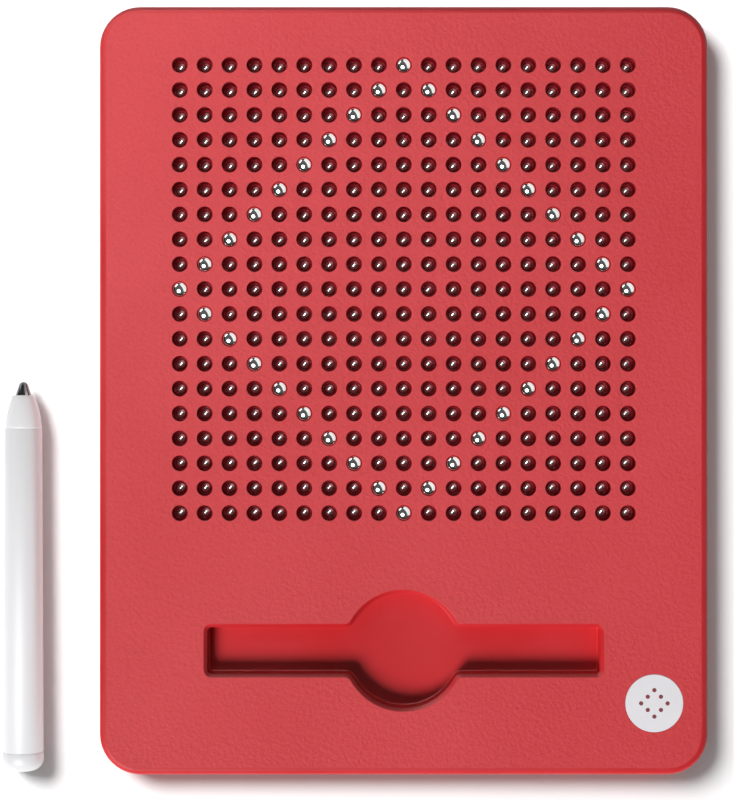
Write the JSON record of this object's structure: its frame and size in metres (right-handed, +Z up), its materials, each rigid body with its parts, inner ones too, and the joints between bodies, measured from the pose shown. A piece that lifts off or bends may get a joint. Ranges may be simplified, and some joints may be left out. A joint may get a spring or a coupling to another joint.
{
  "type": "magnetic bead drawing board",
  "caption": "Flat drawing board whose steel beads rise to a magnetic stylus and are pressed back down, with a stylus tray.",
  "frame": {"origin": "centre of the board's underside, on the surface that the board rests on", "axes": "+Z up out of the deck, +Y along the board's length from the stylus tray to the bead field, +X to the right; the stylus lies on the -X side"},
  "size_m": [0.2791, 0.303, 0.0162],
  "materials": {
    "grained_red": "moulded ABS, fine matt grain on the flat deck, smooth and glossier on the edges and the tray",
    "cover_red": "moulded ABS, fine matt grain",
    "inner_red": "moulded ABS, plain satin",
    "retainer_rubber": "soft elastic sheet, matt",
    "badge_white": "smooth printed disc",
    "screw_steel": "zinc-plated",
    "bead_steel": "polished bearing steel",
    "stylus_white": "moulded, satin gloss",
    "tip_steel": "polished dark steel",
    "magnet_nickel": "nickel-plated magnet"
  },
  "bodies": {
    "board": {"front_shell": "grained_red", "back_cover": "cover_red", "bead_guide_plate": "inner_red", "retainer_sheet": "retainer_rubber", "bead_tray": "inner_red", "badge": "badge_white", "case_screws": "screw_steel"},
    "stylus": {"stylus_barrel": "stylus_white", "stylus_nose": "stylus_white", "stylus_end_cap": "stylus_white", "stylus_tip": "tip_steel", "stylus_magnet": "magnet_nickel"},
    "middle_beads": {"lowered_beads_middle": "bead_steel"},
    "top_left_beads": {"lowered_beads_top_left": "bead_steel"},
    "top_right_beads": {"lowered_beads_top_right": "bead_steel"},
    "bottom_left_beads": {"lowered_beads_bottom_left": "bead_steel"},
    "bottom_right_beads": {"lowered_beads_bottom_right": "bead_steel"},
    "bead_1": {"raised_bead_1": "bead_steel"},
    "bead_2": {"raised_bead_2": "bead_steel"},
    "bead_3": {"raised_bead_3": "bead_steel"},
    "bead_4": {"raised_bead_4": "bead_steel"},
    "bead_5": {"raised_bead_5": "bead_steel"},
    "bead_6": {"raised_bead_6": "bead_steel"},
    "bead_7": {"raised_bead_7": "bead_steel"},
    "bead_8": {"raised_bead_8": "bead_steel"},
    "bead_9": {"raised_bead_9": "bead_steel"},
    "bead_10": {"raised_bead_10": "bead_steel"},
    "bead_11": {"raised_bead_11": "bead_steel"},
    "bead_12": {"raised_bead_12": "bead_steel"},
    "bead_13": {"raised_bead_13": "bead_steel"},
    "bead_14": {"raised_bead_14": "bead_steel"},
    "bead_15": {"raised_bead_15": "bead_steel"},
    "bead_16": {"raised_bead_16": "bead_steel"},
    "bead_17": {"raised_bead_17": "bead_steel"},
    "bead_18": {"raised_bead_18": "bead_steel"},
    "bead_19": {"raised_bead_19": "bead_steel"},
    "bead_20": {"raised_bead_20": "bead_steel"},
    "bead_21": {"raised_bead_21": "bead_steel"},
    "bead_22": {"raised_bead_22": "bead_steel"},
    "bead_23": {"raised_bead_23": "bead_steel"},
    "bead_24": {"raised_bead_24": "bead_steel"},
    "bead_25": {"raised_bead_25": "bead_steel"},
    "bead_26": {"raised_bead_26": "bead_steel"},
    "bead_27": {"raised_bead_27": "bead_steel"},
    "bead_28": {"raised_bead_28": "bead_steel"},
    "bead_29": {"raised_bead_29": "bead_steel"},
    "bead_30": {"raised_bead_30": "bead_steel"},
    "bead_31": {"raised_bead_31": "bead_steel"},
    "bead_32": {"raised_bead_32": "bead_steel"},
    "bead_33": {"raised_bead_33": "bead_steel"},
    "bead_34": {"raised_bead_34": "bead_steel"},
    "bead_35": {"raised_bead_35": "bead_steel"},
    "bead_36": {"raised_bead_36": "bead_steel"}
  },
  "joints": [
    {"name": "stylus_lift", "type": "slide", "parent": "board", "child": "stylus", "axis": [0, 0, 1], "range_m": [0, 0.06]},
    {"name": "middle_beads_rise", "type": "slide", "parent": "board", "child": "middle_beads", "axis": [0, 0, 1], "range_m": [0, 0.0066]},
    {"name": "top_left_beads_rise", "type": "slide", "parent": "board", "child": "top_left_beads", "axis": [0, 0, 1], "range_m": [0, 0.0066]},
    {"name": "top_right_beads_rise", "type": "slide", "parent": "board", "child": "top_right_beads", "axis": [0, 0, 1], "range_m": [0, 0.0066]},
    {"name": "bottom_left_beads_rise", "type": "slide", "parent": "board", "child": "bottom_left_beads", "axis": [0, 0, 1], "range_m": [0, 0.0066]},
    {"name": "bottom_right_beads_rise", "type": "slide", "parent": "board", "child": "bottom_right_beads", "axis": [0, 0, 1], "range_m": [0, 0.0066]},
    {"name": "bead_1_press", "type": "slide", "parent": "board", "child": "bead_1", "axis": [0, 0, 1], "range_m": [-0.0066, 0]},
    {"name": "bead_2_press", "type": "slide", "parent": "board", "child": "bead_2", "axis": [0, 0, 1], "range_m": [-0.0066, 0]},
    {"name": "bead_3_press", "type": "slide", "parent": "board", "child": "bead_3", "axis": [0, 0, 1], "range_m": [-0.0066, 0]},
    {"name": "bead_4_press", "type": "slide", "parent": "board", "child": "bead_4", "axis": [0, 0, 1], "range_m": [-0.0066, 0]},
    {"name": "bead_5_press", "type": "slide", "parent": "board", "child": "bead_5", "axis": [0, 0, 1], "range_m": [-0.0066, 0]},
    {"name": "bead_6_press", "type": "slide", "parent": "board", "child": "bead_6", "axis": [0, 0, 1], "range_m": [-0.0066, 0]},
    {"name": "bead_7_press", "type": "slide", "parent": "board", "child": "bead_7", "axis": [0, 0, 1], "range_m": [-0.0066, 0]},
    {"name": "bead_8_press", "type": "slide", "parent": "board", "child": "bead_8", "axis": [0, 0, 1], "range_m": [-0.0066, 0]},
    {"name": "bead_9_press", "type": "slide", "parent": "board", "child": "bead_9", "axis": [0, 0, 1], "range_m": [-0.0066, 0]},
    {"name": "bead_10_press", "type": "slide", "parent": "board", "child": "bead_10", "axis": [0, 0, 1], "range_m": [-0.0066, 0]},
    {"name": "bead_11_press", "type": "slide", "parent": "board", "child": "bead_11", "axis": [0, 0, 1], "range_m": [-0.0066, 0]},
    {"name": "bead_12_press", "type": "slide", "parent": "board", "child": "bead_12", "axis": [0, 0, 1], "range_m": [-0.0066, 0]},
    {"name": "bead_13_press", "type": "slide", "parent": "board", "child": "bead_13", "axis": [0, 0, 1], "range_m": [-0.0066, 0]},
    {"name": "bead_14_press", "type": "slide", "parent": "board", "child": "bead_14", "axis": [0, 0, 1], "range_m": [-0.0066, 0]},
    {"name": "bead_15_press", "type": "slide", "parent": "board", "child": "bead_15", "axis": [0, 0, 1], "range_m": [-0.0066, 0]},
    {"name": "bead_16_press", "type": "slide", "parent": "board", "child": "bead_16", "axis": [0, 0, 1], "range_m": [-0.0066, 0]},
    {"name": "bead_17_press", "type": "slide", "parent": "board", "child": "bead_17", "axis": [0, 0, 1], "range_m": [-0.0066, 0]},
    {"name": "bead_18_press", "type": "slide", "parent": "board", "child": "bead_18", "axis": [0, 0, 1], "range_m": [-0.0066, 0]},
    {"name": "bead_19_press", "type": "slide", "parent": "board", "child": "bead_19", "axis": [0, 0, 1], "range_m": [-0.0066, 0]},
    {"name": "bead_20_press", "type": "slide", "parent": "board", "child": "bead_20", "axis": [0, 0, 1], "range_m": [-0.0066, 0]},
    {"name": "bead_21_press", "type": "slide", "parent": "board", "child": "bead_21", "axis": [0, 0, 1], "range_m": [-0.0066, 0]},
    {"name": "bead_22_press", "type": "slide", "parent": "board", "child": "bead_22", "axis": [0, 0, 1], "range_m": [-0.0066, 0]},
    {"name": "bead_23_press", "type": "slide", "parent": "board", "child": "bead_23", "axis": [0, 0, 1], "range_m": [-0.0066, 0]},
    {"name": "bead_24_press", "type": "slide", "parent": "board", "child": "bead_24", "axis": [0, 0, 1], "range_m": [-0.0066, 0]},
    {"name": "bead_25_press", "type": "slide", "parent": "board", "child": "bead_25", "axis": [0, 0, 1], "range_m": [-0.0066, 0]},
    {"name": "bead_26_press", "type": "slide", "parent": "board", "child": "bead_26", "axis": [0, 0, 1], "range_m": [-0.0066, 0]},
    {"name": "bead_27_press", "type": "slide", "parent": "board", "child": "bead_27", "axis": [0, 0, 1], "range_m": [-0.0066, 0]},
    {"name": "bead_28_press", "type": "slide", "parent": "board", "child": "bead_28", "axis": [0, 0, 1], "range_m": [-0.0066, 0]},
    {"name": "bead_29_press", "type": "slide", "parent": "board", "child": "bead_29", "axis": [0, 0, 1], "range_m": [-0.0066, 0]},
    {"name": "bead_30_press", "type": "slide", "parent": "board", "child": "bead_30", "axis": [0, 0, 1], "range_m": [-0.0066, 0]},
    {"name": "bead_31_press", "type": "slide", "parent": "board", "child": "bead_31", "axis": [0, 0, 1], "range_m": [-0.0066, 0]},
    {"name": "bead_32_press", "type": "slide", "parent": "board", "child": "bead_32", "axis": [0, 0, 1], "range_m": [-0.0066, 0]},
    {"name": "bead_33_press", "type": "slide", "parent": "board", "child": "bead_33", "axis": [0, 0, 1], "range_m": [-0.0066, 0]},
    {"name": "bead_34_press", "type": "slide", "parent": "board", "child": "bead_34", "axis": [0, 0, 1], "range_m": [-0.0066, 0]},
    {"name": "bead_35_press", "type": "slide", "parent": "board", "child": "bead_35", "axis": [0, 0, 1], "range_m": [-0.0066, 0]},
    {"name": "bead_36_press", "type": "slide", "parent": "board", "child": "bead_36", "axis": [0, 0, 1], "range_m": [-0.0066, 0]}
  ]
}
